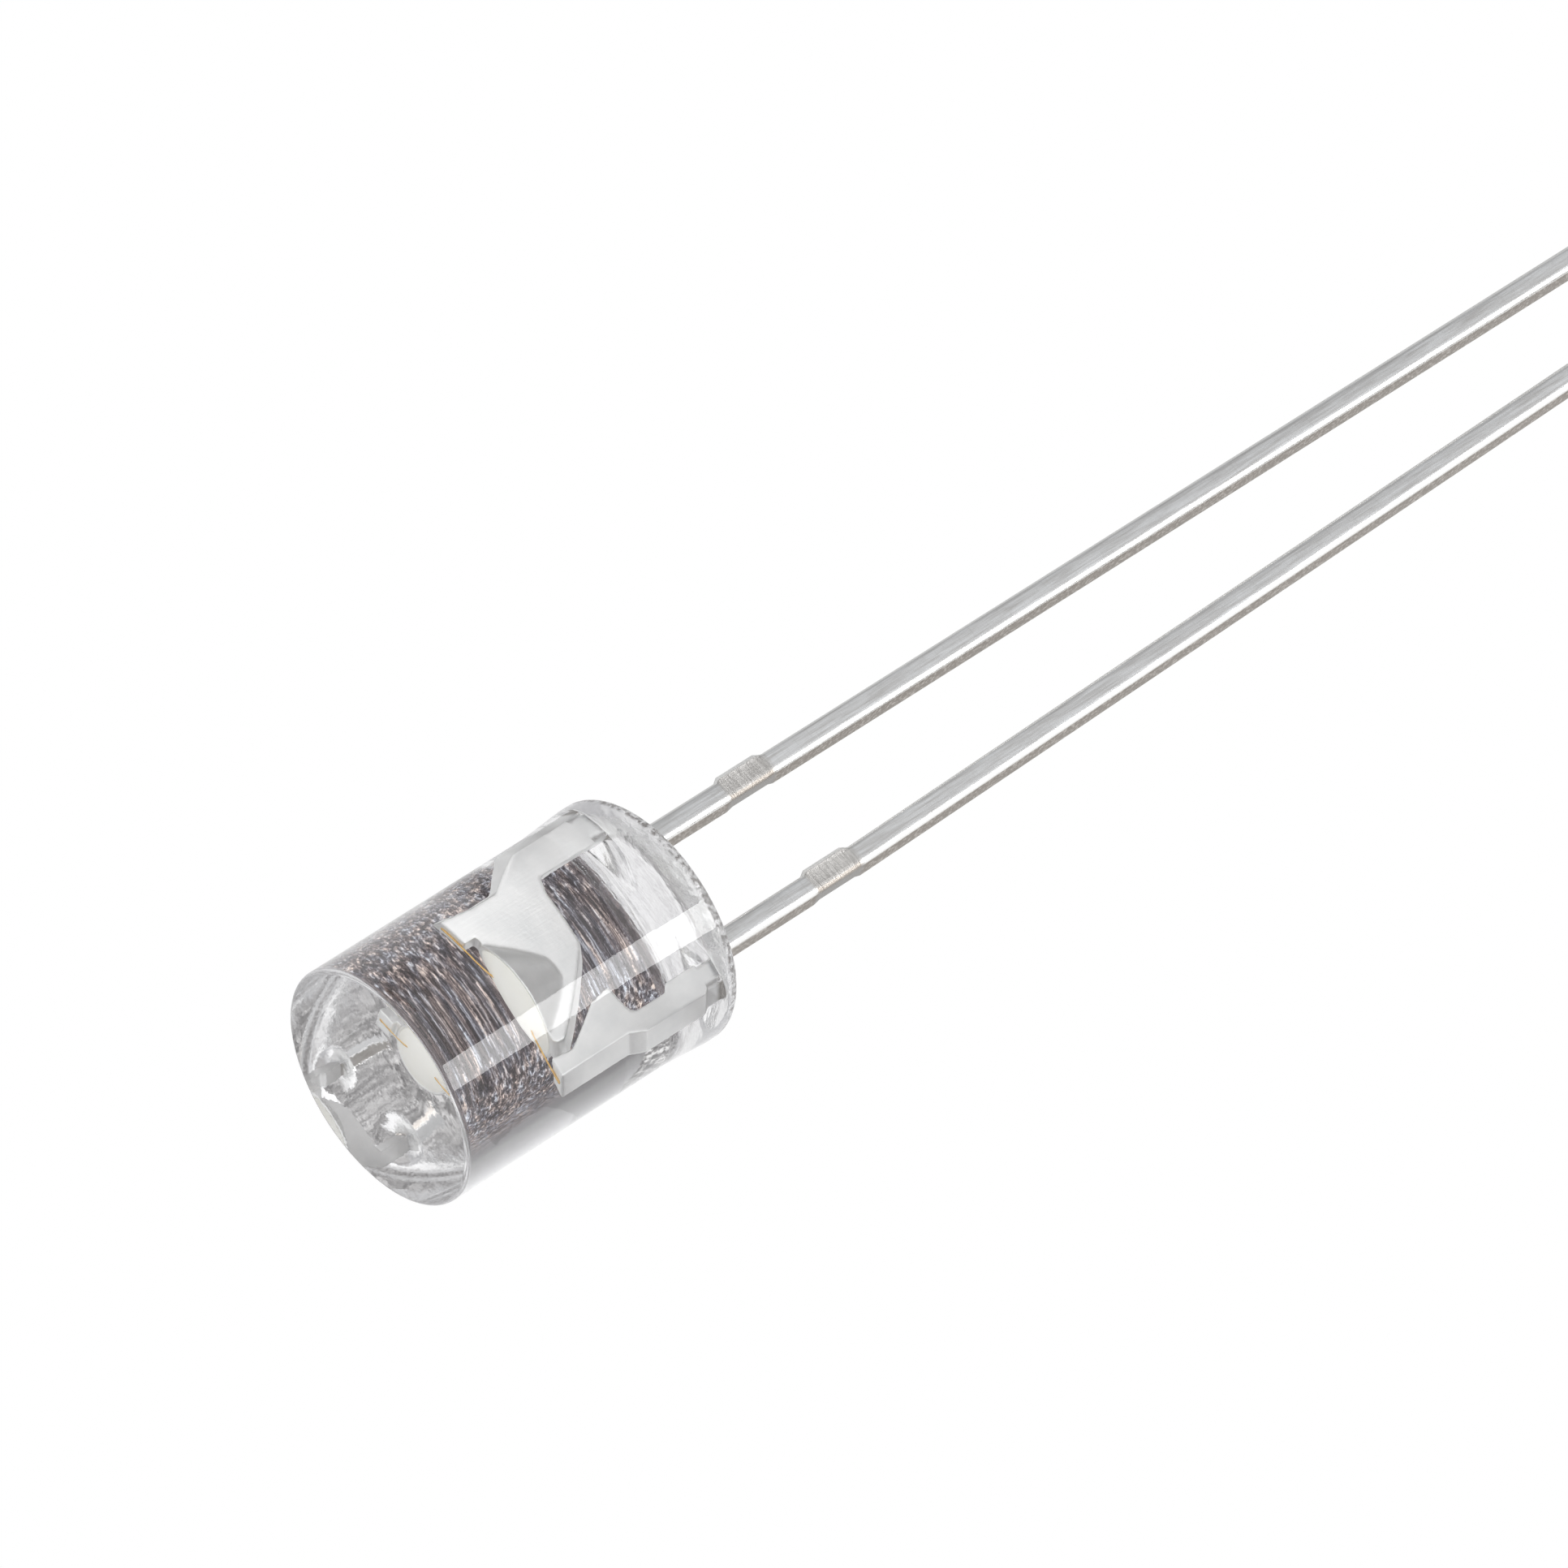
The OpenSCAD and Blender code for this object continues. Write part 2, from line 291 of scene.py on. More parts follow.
epoxyLook = {
    "colour": (0.985, 0.985, 0.995, 1),
    "ior": 1.53,
    "roughness": 0.0,
    "baseRoughness": 0.01,   # the potted base is duller than the moulded faces
    "baseTop": 0.3,          # mm, height up to which that holds
    "baseFade": 0.8,         # it fades from this share of that height
    "baseRadius": 2.36,      # mm, and out to here, inside the moulded rim
    "baseBlend": 0.06,       # mm, width over which it gives way to the rim
    "ripple": 0.004,         # mm, depth of the mould's faint ripple
    "rippleNoise": (5, 2),
    "rippleStrength": 0.2,
    "grain": 0.014,          # mm, depth of the grain on the potted base
    "grainNoise": (16, 4, 0.65),
    "grainStrength": 0.3,
    "swell": 0.045,          # mm, depth of its slow waves
    "swellNoise": (2.4, 3, 0.5),
    "flash": 0.05,           # mm, depth of the rough flash round the rim
    "flashNoise": (9, 4, 0.6),
    "flashTop": 0.24,        # mm, height up to which it reaches
    "flashBlend": 0.03,      # mm, either side of that height
    "flashShade": (0.13, 0.115, 0.11, 1),
    "flashRange": (0.42, 0.56),   # where in its noise the painted rim shade sets in and is full
    "paintedTrappedLight": (0.86, 0.86, 0.88, 1),
    "trappedDepth": 6,       # the turn inside from which the resin glows with painted light, standing in for light trapped inside
    "trappedGlow": (0.08, 1.0),   # how strongly that painted glow shines, as a share of the room's white
    "trappedStretch": (1, 1, 2.2),
    "trappedNoise": (3, 5, 0.7),
    "trappedRange": (0.42, 0.58),
}


def clearEpoxy(look):
    mat, nodes, links, shader = newMaterial("clearEpoxy")
    shader.inputs["Transmission Weight"].default_value = 1
    shader.inputs["IOR"].default_value = look["ior"]
    where = placed(nodes, links, (1, 1, 1))
    height = nodes.new("ShaderNodeSeparateXYZ")
    links.new(where, height.inputs["Vector"])
    low = spread(nodes, links, height.outputs["Z"], 1, 0, look["baseTop"] * look["baseFade"],
                 look["baseTop"])
    flatten = nodes.new("ShaderNodeVectorMath")
    flatten.operation = "MULTIPLY"
    flatten.inputs[1].default_value = (1, 1, 0)
    links.new(where, flatten.inputs[0])
    out = nodes.new("ShaderNodeVectorMath")
    out.operation = "LENGTH"
    links.new(flatten.outputs["Vector"], out.inputs[0])
    edge = (look["baseRadius"] - look["baseBlend"], look["baseRadius"])
    within = spread(nodes, links, out.outputs["Value"], 1, 0, *edge)
    onBase = product(nodes, links, low, within)
    links.new(spread(nodes, links, onBase, look["roughness"], look["baseRoughness"], 0, 1),
              shader.inputs["Roughness"])
    ripple = noiseOn(nodes, links, where, *look["rippleNoise"])
    relief = bumpOn(nodes, links, ripple, look["rippleStrength"], look["ripple"])
    grain = product(nodes, links, noiseOn(nodes, links, where, *look["grainNoise"]), onBase)
    # the waves and the flash are switched by their strength, so neither leaves a ridge at its border
    swell = noiseOn(nodes, links, where, *look["swellNoise"])
    relief = bumpOn(nodes, links, swell, 0, look["swell"], relief)
    links.new(onBase, relief.node.inputs["Strength"])
    outer = spread(nodes, links, out.outputs["Value"], 0, 1, *edge)
    lowest = spread(nodes, links, height.outputs["Z"], 1, 0,
                    look["flashTop"] - look["flashBlend"], look["flashTop"] + look["flashBlend"])
    rim = product(nodes, links, outer, lowest)
    crust = noiseOn(nodes, links, where, *look["flashNoise"])
    relief = bumpOn(nodes, links, crust, 0, look["flash"], relief)
    links.new(rim, relief.node.inputs["Strength"])
    # painted shade: the resin at the rim is darkened in speckles
    paintedRimShade = product(nodes, links, rim, spread(nodes, links, crust, 0, 1, *look["flashRange"]))
    links.new(blend(nodes, links, paintedRimShade, look["colour"], look["flashShade"]),
              shader.inputs["Base Color"])
    relief = bumpOn(nodes, links, grain, look["grainStrength"], look["grain"], relief)
    links.new(relief, shader.inputs["Normal"])
    # painted glow: rays that have turned this often inside the resin give off a mottled grey light
    path = nodes.new("ShaderNodeLightPath")
    deep = stepBetween(nodes, links, path.outputs["Ray Depth"],
                       look["trappedDepth"] - 0.5, look["trappedDepth"] + 0.5)
    shader.inputs["Emission Color"].default_value = look["paintedTrappedLight"]
    mottle = noiseOn(nodes, links, placed(nodes, links, look["trappedStretch"]),
                     *look["trappedNoise"])
    glow = spread(nodes, links, mottle, *look["trappedGlow"], *look["trappedRange"])
    links.new(product(nodes, links, deep, glow), shader.inputs["Emission Strength"])
    return mat


leadLook = {
    "face": (0.64, 0.65, 0.66, 1),        # tin drawn along the broad faces
    "faceShade": (0.45, 0.445, 0.44, 1),
    "side": (0.30, 0.275, 0.25, 1),       # sheared sides, duller and warmer
    "sideFleck": (0.52, 0.49, 0.46, 1),
    "edge": (0.93, 0.93, 0.92, 1),        # the rounded edges: partly burnished by the die, partly a painted highlight
    "faceRoughness": 0.34,
    "sideRoughness": 0.5,
    "edgeRoughness": 0.2,
    "stub": (0.49, 0.48, 0.468, 1),       # the pressed zone, scored across
    "stubShade": (0.36, 0.35, 0.34, 1),
    # painted shade: the pressed zone's rounded edges are darkened so they catch no highlight
    "paintedStubEdge": (0.36, 0.33, 0.30, 1),
    "stubRoughness": 0.46,
    "stubBottom": -4.2,                   # mm
    "stubTop": -3.0,
    "silver": (0.95, 0.952, 0.94, 1),     # matte plating inside the body
    "silverShade": (0.86, 0.868, 0.862, 1),
    "silverRoughness": 0.36,
    "bodyEntry": 0.1,                     # mm, height at which the finish changes
    "turn": 0.09,                         # how sharply side and edge give way to each other
    "entryBlend": 0.05,                   # mm, either side of the height where the finish changes
    "drawnStretch": (22, 22, 1.1),        # fine lines along the lead
    "drawnNoise": (1, 4, 0.65),
    "drawnRange": (0.34, 0.68),
    "drawnBump": (0.35, 0.012),           # strength, and depth in mm
    "acrossStretch": (2.5, 2.5, 30),      # scores across it
    "acrossNoise": (1, 4, 0.6),
    "wornRange": (0.55, 0.75),
    "wornMost": 0.5,
    "scoredRange": (0.40, 0.66),
    "scoreBump": (0.7, 0.03),
    "cloudNoise": (2.0, 3),
    "cloudRange": (0.38, 0.72),
    "fleckNoise": (13, 4, 0.6),
    "fleckRange": (0.48, 0.68),
    "fleckBump": (0.2, 0.01),
    "lipHighlightRange": (0.3, 0.5),               # how far a face turns to +X before it gets the painted highlight on the lip's side
}


def platedLead(look):
    mat, nodes, links, shader = newMaterial("platedLead")
    shader.inputs["Metallic"].default_value = 1
    where = placed(nodes, links, (1, 1, 1))
    split = nodes.new("ShaderNodeSeparateXYZ")
    links.new(where, split.inputs["Vector"])
    height = split.outputs["Z"]
    inside = spread(nodes, links, height, 0, 1, look["bodyEntry"] - look["entryBlend"],
                    look["bodyEntry"] + look["entryBlend"])
    pressed = stepBetween(nodes, links, height, look["stubBottom"], look["stubTop"])
    shape = nodes.new("ShaderNodeTexCoord")
    towards = nodes.new("ShaderNodeSeparateXYZ")
    links.new(shape.outputs["Normal"], towards.inputs["Vector"])
    flatSide = 1 - look["turn"] / 2
    onSide = spread(nodes, links, sizeOf(nodes, links, towards.outputs["X"]), 0, 1,
                    flatSide - look["turn"], flatSide)
    onFace = spread(nodes, links, sizeOf(nodes, links, towards.outputs["Y"]), 0, 1,
                    flatSide - look["turn"], flatSide)
    drawn = noiseOn(nodes, links, placed(nodes, links, look["drawnStretch"]), *look["drawnNoise"])
    across = noiseOn(nodes, links, placed(nodes, links, look["acrossStretch"]), *look["acrossNoise"])
    cloud = noiseOn(nodes, links, where, *look["cloudNoise"])
    fleck = noiseOn(nodes, links, where, *look["fleckNoise"])

    faceTone = spread(nodes, links, drawn, 0, 1, *look["drawnRange"])
    face = blend(nodes, links, faceTone, look["face"], look["faceShade"])
    worn = spread(nodes, links, across, 0, look["wornMost"], *look["wornRange"])
    face = blend(nodes, links, worn, face, look["faceShade"])
    sideTone = spread(nodes, links, fleck, 0, 1, *look["fleckRange"])
    side = blend(nodes, links, sideTone, look["side"], look["sideFleck"])
    # the rounded edges get the bright edge colour, partly burnish and partly a painted highlight
    tin = blend(nodes, links, onFace, look["edge"], face)
    tin = blend(nodes, links, onSide, tin, side)
    scored = spread(nodes, links, across, 0, 1, *look["scoredRange"])
    stub = blend(nodes, links, scored, look["stub"], look["stubShade"])
    # painted highlight on the +X edge of the pressed zone, painted shade on its other edges
    paintedLipHighlight = spread(nodes, links, towards.outputs["X"], 0, 1, *look["lipHighlightRange"])
    paintedStubEdge = blend(nodes, links, paintedLipHighlight, look["paintedStubEdge"], look["edge"])
    stub = blend(nodes, links, onFace, paintedStubEdge, stub)
    stub = blend(nodes, links, onSide, stub, look["stubShade"])
    tin = blend(nodes, links, pressed, tin, stub)
    silverTone = spread(nodes, links, cloud, 0, 1, *look["cloudRange"])
    silver = blend(nodes, links, silverTone, look["silver"], look["silverShade"])
    links.new(blend(nodes, links, inside, tin, silver), shader.inputs["Base Color"])

    rough = mixNumber(nodes, links, onFace, look["edgeRoughness"], look["faceRoughness"])
    rough = mixNumber(nodes, links, onSide, rough, look["sideRoughness"])
    rough = mixNumber(nodes, links, pressed, rough, look["stubRoughness"])
    rough = mixNumber(nodes, links, inside, rough, look["silverRoughness"])
    links.new(rough, shader.inputs["Roughness"])

    relief = bumpOn(nodes, links, drawn, *look["drawnBump"])
    scores = product(nodes, links, across, pressed)
    relief = bumpOn(nodes, links, scores, *look["scoreBump"], relief)
    relief = bumpOn(nodes, links, fleck, *look["fleckBump"], relief)
    links.new(relief, shader.inputs["Normal"])
    return mat


phosphorLook = {
    "colour": (0.98, 0.975, 0.93, 1),
    "grain": (0.95, 0.94, 0.84, 1),
    "roughness": 0.35,
    "paintedGlowColour": (1.0, 0.99, 0.93, 1),   # painted glow, standing in for light that the gel gathers through the resin
    # strength of the gel's painted glow
    "scatter": 0.14,
    "grainNoise": (30, 3),
    "patchNoise": (2.5, 2),
    "toneRange": (0.35, 0.65),
    "leastGrain": 0.2,
    "grainBump": (0.3, 0.008),           # strength, and depth in mm
}


def phosphorGel(look):
    mat, nodes, links, shader = newMaterial("phosphorGel")
    where = placed(nodes, links, (1, 1, 1))
    grain = noiseOn(nodes, links, where, *look["grainNoise"])
    patch = noiseOn(nodes, links, where, *look["patchNoise"])
    tone = spread(nodes, links, grain, 0, 1, *look["toneRange"])
    soft = spread(nodes, links, patch, look["leastGrain"], 1, *look["toneRange"])
    share = product(nodes, links, tone, soft)
    links.new(blend(nodes, links, share, look["colour"], look["grain"]),
              shader.inputs["Base Color"])
    shader.inputs["Roughness"].default_value = look["roughness"]
    # painted glow on the gel, which is no lamp
    shader.inputs["Emission Color"].default_value = look["paintedGlowColour"]
    shader.inputs["Emission Strength"].default_value = look["scatter"]
    links.new(bumpOn(nodes, links, grain, *look["grainBump"]), shader.inputs["Normal"])
    return mat


goldLook = {
    "colour": (0.86, 0.58, 0.22, 1),
    "dark": (0.66, 0.40, 0.14, 1),
    "roughness": 0.24,
    "toneNoise": (12, 3),
    "toneBump": (0.2, 0.002),
}


def drawnGold(look):
    mat, nodes, links, shader = newMaterial("drawnGold")
    shader.inputs["Metallic"].default_value = 1
    shader.inputs["Roughness"].default_value = look["roughness"]
    tone = noiseOn(nodes, links, placed(nodes, links, (1, 1, 1)), *look["toneNoise"])
    links.new(blend(nodes, links, spread(nodes, links, tone, 0, 1), look["colour"], look["dark"]),
              shader.inputs["Base Color"])
    links.new(bumpOn(nodes, links, tone, *look["toneBump"]), shader.inputs["Normal"])
    return mat


chipLook = {
    "crystal": (0.55, 0.68, 0.70, 1),
    "trace": (0.82, 0.80, 0.72, 1),
    "roughness": 0.18,
    "traceSpacing": 14,    # per mm
    "traceWander": 0.4,
    "traceRange": (0.8, 0.95),
}


def chipCrystal(look):
    mat, nodes, links, shader = newMaterial("chipCrystal")
    wave = nodes.new("ShaderNodeTexWave")
    wave.inputs["Scale"].default_value = look["traceSpacing"]
    wave.inputs["Distortion"].default_value = look["traceWander"]
    links.new(placed(nodes, links, (1, 1, 1)), wave.inputs["Vector"])
    tone = spread(nodes, links, wave.outputs["Fac"], 0, 1, *look["traceRange"])
    links.new(blend(nodes, links, tone, look["crystal"], look["trace"]), shader.inputs["Base Color"])
    shader.inputs["Roughness"].default_value = look["roughness"]
    return mat


glueLook = {
    "silver": (0.62, 0.62, 0.60, 1),
    "resin": (0.44, 0.43, 0.40, 1),
    "roughness": 0.55,
    "metallic": 0.6,
    "flakeNoise": (40, 3),
    "flakeBump": (0.4, 0.004),
}


def silverGlue(look):
    mat, nodes, links, shader = newMaterial("silverGlue")
    flake = noiseOn(nodes, links, placed(nodes, links, (1, 1, 1)), *look["flakeNoise"])
    links.new(blend(nodes, links, spread(nodes, links, flake, 0, 1), look["silver"], look["resin"]),
              shader.inputs["Base Color"])
    shader.inputs["Metallic"].default_value = look["metallic"]
    shader.inputs["Roughness"].default_value = look["roughness"]
    links.new(bumpOn(nodes, links, flake, *look["flakeBump"]), shader.inputs["Normal"])
    return mat


epoxy = clearEpoxy(epoxyLook)
plated = platedLead(leadLook)
phosphor = phosphorGel(phosphorLook)
gold = drawnGold(goldLook)
crystal = chipCrystal(chipLook)
glue = silverGlue(glueLook)
print("materials made")


# Lens body

lens = {
    "segments": 256,
    "barrelRadius": 2.5,
    "height": 6.8,
    "footRadius": 2.58,
    "footHeight": 1.4,
    "footStraight": 0.4,
    "footFillet": 0.2,
    "frontEdge": 0.09,
    "flatMargin": 0.02,     # keeps the plain faces plain beside the rounded edges
    "sink": 0.28,           # how far the potted base sinks between the rim and the leads
    "sinkRadius": 1.25,     # the sunk part reaches out this far
    "rimCreep": 1.12,       # width over which the resin climbs to the rim
    "leadAt": 1.27,
    "leadHalf": 0.38,       # the resin clings to each lead this far out
    "leadCreep": 0.46,
    "leadRise": 0.25,
    "footSegments": 10,
    "frontSegments": 8,
    "smoothAngle": 35,      # degrees
}


def sinkBase(spec):
    # the potted base, a grid that sinks between the rim and the leads it clings to
    editPick("FACE", lambda f: f.normal.z < -facing and levelOf(f) < hair)
    bpy.ops.mesh.inset(thickness=spec["flatMargin"])
    bpy.ops.mesh.delete(type="ONLY_FACE")
    editPick("EDGE", lambda e: e.is_boundary)
    bpy.ops.mesh.fill_grid(span=spec["segments"] // 4)
    onBase = spec["footRadius"] - spec["footFillet"]
    editPick("VERT", lambda v: v.co.z < hair and v.co.xy.length < spec["sinkRadius"])
    bpy.ops.transform.translate(
        value=(0, 0, spec["sink"]), use_proportional_edit=True, use_proportional_connected=True,
        proportional_edit_falloff="INVERSE_SQUARE", proportional_size=spec["rimCreep"])
    for side in (-1, 1):
        at = Vector((side * spec["leadAt"], 0))
        editPick("VERT", lambda v: v.co.z < 1 and (v.co.xy - at).length < spec["leadHalf"])
        bpy.ops.transform.translate(
            value=(0, 0, -spec["leadRise"]), use_proportional_edit=True, use_proportional_connected=True,
            proportional_edit_falloff="LINEAR", proportional_size=spec["leadCreep"])
    editPick("VERT", lambda v: v.co.z < 1 and v.co.xy.length < onBase - spec["flatMargin"] - slack)
    bpy.ops.mesh.vertices_smooth(factor=0.5, repeat=2)


def makeLens(spec):
    clearSelection()
    bpy.ops.mesh.primitive_cylinder_add(
        vertices=spec["segments"], radius=spec["barrelRadius"], depth=spec["height"],
        location=(0, 0, spec["height"] / 2), end_fill_type="NGON")
    body = justAdded("clearBody")
    applyPlace(body)
    bpy.ops.object.mode_set(mode="EDIT")
    cutAcross(spec["footHeight"])
    cutAcross(spec["footStraight"])
    grow = spec["footRadius"] / spec["barrelRadius"]
    editPick("VERT", lambda v: v.co.z < spec["footStraight"] + slack)
    shrinkTo(grow, grow, (0, 0, 0))
    editPick("EDGE", lambda e: levelOf(e) < slack)
    bpy.ops.mesh.bevel(offset=spec["footFillet"], segments=spec["footSegments"], affect="EDGES")
    top = spec["height"] - hair
    editPick("EDGE", lambda e: min(v.co.z for v in e.verts) > top)
    bpy.ops.mesh.bevel(offset=spec["frontEdge"], segments=spec["frontSegments"], affect="EDGES")
    editPick("FACE", lambda f: f.normal.z > facing and levelOf(f) > top)
    bpy.ops.mesh.inset(thickness=spec["flatMargin"])
    cutAcross(spec["footHeight"] + spec["flatMargin"])
    cutAcross(spec["height"] - spec["frontEdge"] - spec["flatMargin"])
    sinkBase(spec)
    bpy.ops.object.mode_set(mode="OBJECT")
    faceOutwards(body)
    bpy.ops.object.shade_smooth_by_angle(angle=math.radians(spec["smoothAngle"]))
    return body


clearBody = makeLens(lens)
finishPiece(clearBody, epoxy, "clear_epoxy", "lens_body")


# Leads. Outlines run round the stamping as (x, z, corner radius), for a lead on the +X side.

lead = {
    "pitch": 2.54,
    "width": 0.5,
    "sheet": 0.5,
    "edge": 0.14,          # edges that the die rounds, on the -Y face
    "backEdge": 0.06,      # and those that it leaves sharper
    "neck": 0.34,          # height where the plain bar meets the stamped head
    "stubStart": 3.0,
    "stubLength": 1.2,
    "stubSlope": 0.14,
    "stubWidth": 0.58,
    "stubThickness": 0.36,
    "stubShift": 0.05,     # the pressed zone stands out more on its +X side
    "stubLip": 0.035,      # height of the burr along that side
    "tipEdge": 0.04,
    "edgeSegments": 4,
    "tipSegments": 3,
    "cornerSegments": 6,
    "voxel": 0.022,        # fineness of the head's rounded skin
    "softening": 6,
    "seam": 0.04,          # the head starts this far above the bar, and the two are bridged
    "smoothAngle": 40,     # degrees
}

cathode = {
    "name": "cathodeLead",
    "side": 1,
    "length": 27.0,
    "lean": 0.0,
    "outline": [
        (1.02, 0.10, 0), (1.02, 1.81, 0.12), (0.82, 1.97, 0.12), (0.08, 2.13, 0.12),
        (-0.90, 3.54, 0.12), (-0.90, 3.80, 0.12), (0.68, 3.80, 0), (0.74, 3.74, 0),
        (0.83, 3.74, 0), (0.83, 4.02, 0.03), (1.23, 4.02, 0.03), (1.16, 3.32, 0.3),
        (1.16, 2.72, 0.2), (1.52, 1.75, 0.2), (1.52, 0.10, 0),
    ],
}

cup = {
    "top": 3.8,
    "mouth": 0.68,
    "wall": 0.08,
    "floor": 0.4,
    "depth": 0.42,
    "barrelHeight": 0.9,
    "barrelFoot": 0.29,
}

anode = {
    "name": "anodeLead",
    "side": -1,
    "length": 28.5,
    "lean": 1.2,
    "outline": [
        (1.02, 0.10, 0), (1.02, 1.12, 0.06), (1.16, 1.24, 0.06), (1.16, 2.05, 0.22),
        (0.59, 2.19, 0.06), (0.66, 2.69, 0.06), (1.12, 3.54, 0.06), (1.06, 4.02, 0.03),
        (1.45, 4.02, 0.03), (1.45, 2.33, 0.06), (1.63, 1.95, 0.06), (1.63, 0.45, 0.06),
        (1.52, 0.35, 0), (1.52, 0.10, 0),
    ],
}


def drawStamping(spec, own):
    # the outline is drawn by extruding one vertex, filled, rounded and given its thickness
    sheet = spec["sheet"]
    points = [Vector((own["side"] * x, sheet / 2, z)) for x, z, r in own["outline"]]
    clearSelection()
    bpy.ops.mesh.primitive_plane_add(size=0.1, location=points[0])
    plate = justAdded(own["name"] + "Head")
    applyPlace(plate)
    bpy.ops.object.mode_set(mode="EDIT")
    bpy.ops.mesh.select_mode(type="VERT")
    bpy.ops.mesh.select_all(action="SELECT")
    bpy.ops.mesh.merge(type="CENTER")
    for here, there in zip(points, points[1:]):
        bpy.ops.mesh.extrude_region_move(TRANSFORM_OT_translate={"value": there - here})
    ends = (points[0], points[-1])
    editPick("VERT", lambda v: any((v.co - p).length < hair for p in ends))
    bpy.ops.mesh.edge_face_add()
    bpy.ops.mesh.select_all(action="SELECT")
    bpy.ops.mesh.edge_face_add()
    count = len(points)
    for k, (x, z, r) in enumerate(own["outline"]):
        if r == 0:
            continue
        at = points[k]
        one = (points[k - 1] - at).normalized()
        other = (points[(k + 1) % count] - at).normalized()
        reach = r / math.tan(one.angle(other) / 2)
        editPick("VERT", lambda v: (v.co - at).length < hair)
        bpy.ops.mesh.bevel(offset=reach, segments=spec["cornerSegments"], affect="VERTICES")
    bpy.ops.mesh.select_all(action="SELECT")
    bpy.ops.mesh.extrude_region_move(TRANSFORM_OT_translate={"value": (0, -sheet, 0)})
    bpy.ops.object.mode_set(mode="OBJECT")
    faceOutwards(plate)
    return plate


roundSteps = 96    # sides of the cup and of its fill


def addRound(name, low, lowRadius, high, highRadius):
    clearSelection()
    bpy.ops.mesh.primitive_cone_add(vertices=roundSteps, radius1=lowRadius, radius2=highRadius,
                                    depth=high - low, location=(0, 0, (low + high) / 2))
    obj = justAdded(name)
    applyPlace(obj)
    return obj


def addCup(plate, spec):
    barrel = addRound("barrel", spec["top"] - spec["barrelHeight"], spec["barrelFoot"],
                      spec["top"], spec["mouth"] + spec["wall"])
    combine(plate, barrel, "UNION")
    over = 0.1   # the cutter runs on past the mouth at the same slope
    slope = (spec["mouth"] - spec["floor"]) / spec["depth"]
    hollow = addRound("hollow", spec["top"] - spec["depth"], spec["floor"],
                      spec["top"] + over, spec["mouth"] + over * slope)
    combine(plate, hollow, "DIFFERENCE")


def softenHead(plate, spec):
    skin = plate.modifiers.new("skin", "REMESH")
    skin.mode = "VOXEL"
    skin.voxel_size = spec["voxel"]
    applyModifiers(plate)
    relax = plate.modifiers.new("relax", "SMOOTH")
    relax.factor = 0.5
    relax.iterations = spec["softening"]
    applyModifiers(plate)


def makeBar(spec, own):
    x = own["side"] * spec["pitch"] / 2
    half = spec["width"] / 2
    clearSelection()
    bpy.ops.mesh.primitive_cube_add(size=1, location=(x, 0, (spec["neck"] - own["length"]) / 2))
    bar = justAdded(own["name"])
    bar.scale = (spec["width"], spec["sheet"], spec["neck"] + own["length"])
    applyPlace(bar)
    bpy.ops.object.mode_set(mode="EDIT")
    for way, edge in ((-1, spec["edge"]), (1, spec["backEdge"])):
        editPick("EDGE", lambda e: abs(e.verts[0].co.z - e.verts[1].co.z) > 1
                 and all(v.co.y * way > half - hair for v in e.verts)
                 and all(abs(v.co.x - x) > half - hair for v in e.verts))
        bpy.ops.mesh.bevel(offset=edge, segments=spec["edgeSegments"], affect="EDGES")
    editPick("FACE", lambda f: f.normal.z > facing)
    bpy.ops.mesh.delete(type="FACE")
    editPick("FACE", lambda f: f.normal.z < -facing)
    bpy.ops.mesh.region_to_loop()
    bpy.ops.mesh.bevel(offset=spec["tipEdge"], segments=spec["tipSegments"], affect="EDGES")
    top = -spec["stubStart"]
    low = top - spec["stubLength"]
    for z in (top, top - spec["stubSlope"], low + spec["stubSlope"], low):
        cutAcross(z)
    editPick("VERT", lambda v: low + slack < v.co.z < top - slack)
    shrinkTo(spec["stubWidth"] / spec["width"], spec["stubThickness"] / spec["sheet"], (x, 0, 0))
    push(spec["stubShift"], 0, 0)
    lipFrom = x + spec["stubShift"] + spec["stubWidth"] / 2 - spec["edge"]
    editPick("VERT", lambda v: low + slack < v.co.z < top - slack
             and v.co.x > lipFrom + 2 * slack and v.co.y < -2 * slack)
    push(0, -spec["stubLip"], 0)
    if own["lean"]:
        editPick("VERT", lambda v: v.co.z < low + hair)
        bpy.ops.transform.rotate(value=math.radians(own["lean"]), orient_axis="Y",
                                 center_override=(x, 0, low))
    bpy.ops.object.mode_set(mode="OBJECT")
    return bar


def makeLead(spec, own, cupSpec=None):
    head = drawStamping(spec, own)
    if cupSpec:
        addCup(head, cupSpec)
    softenHead(head, spec)
    useOnly(head)
    bpy.ops.object.mode_set(mode="EDIT")
    cutAcross(spec["neck"] + spec["seam"], clearBelow=True)
    bpy.ops.object.mode_set(mode="OBJECT")
    bar = makeBar(spec, own)
    useOnly(bar)
    head.select_set(True)
    bpy.ops.object.join()
    bpy.ops.object.mode_set(mode="EDIT")
    editPick("EDGE", lambda e: e.is_boundary)
    bpy.ops.mesh.bridge_edge_loops()
    bpy.ops.object.mode_set(mode="OBJECT")
    faceOutwards(bar)
    bpy.ops.object.shade_smooth_by_angle(angle=math.radians(spec["smoothAngle"]))
    return bar


cathodeLead = makeLead(lead, cathode, cup)
finishPiece(cathodeLead, plated, "plated_lead", "cathode_lead")
anodeLead = makeLead(lead, anode)
finishPiece(anodeLead, plated, "plated_lead", "anode_lead")


# Phosphor fill

fill = {
    "name": "phosphorDome",
    "floorRadius": 0.4,
    "mouthRadius": 0.68,
    "floor": 3.38,       # mm above the base
    "mouth": 3.8,
    "rise": 0.24,        # of the dome above the mouth
    "lean": -0.1,        # how far its crest lies off the axis
    "rings": 10,
    "smoothAngle": 40,   # degrees
}


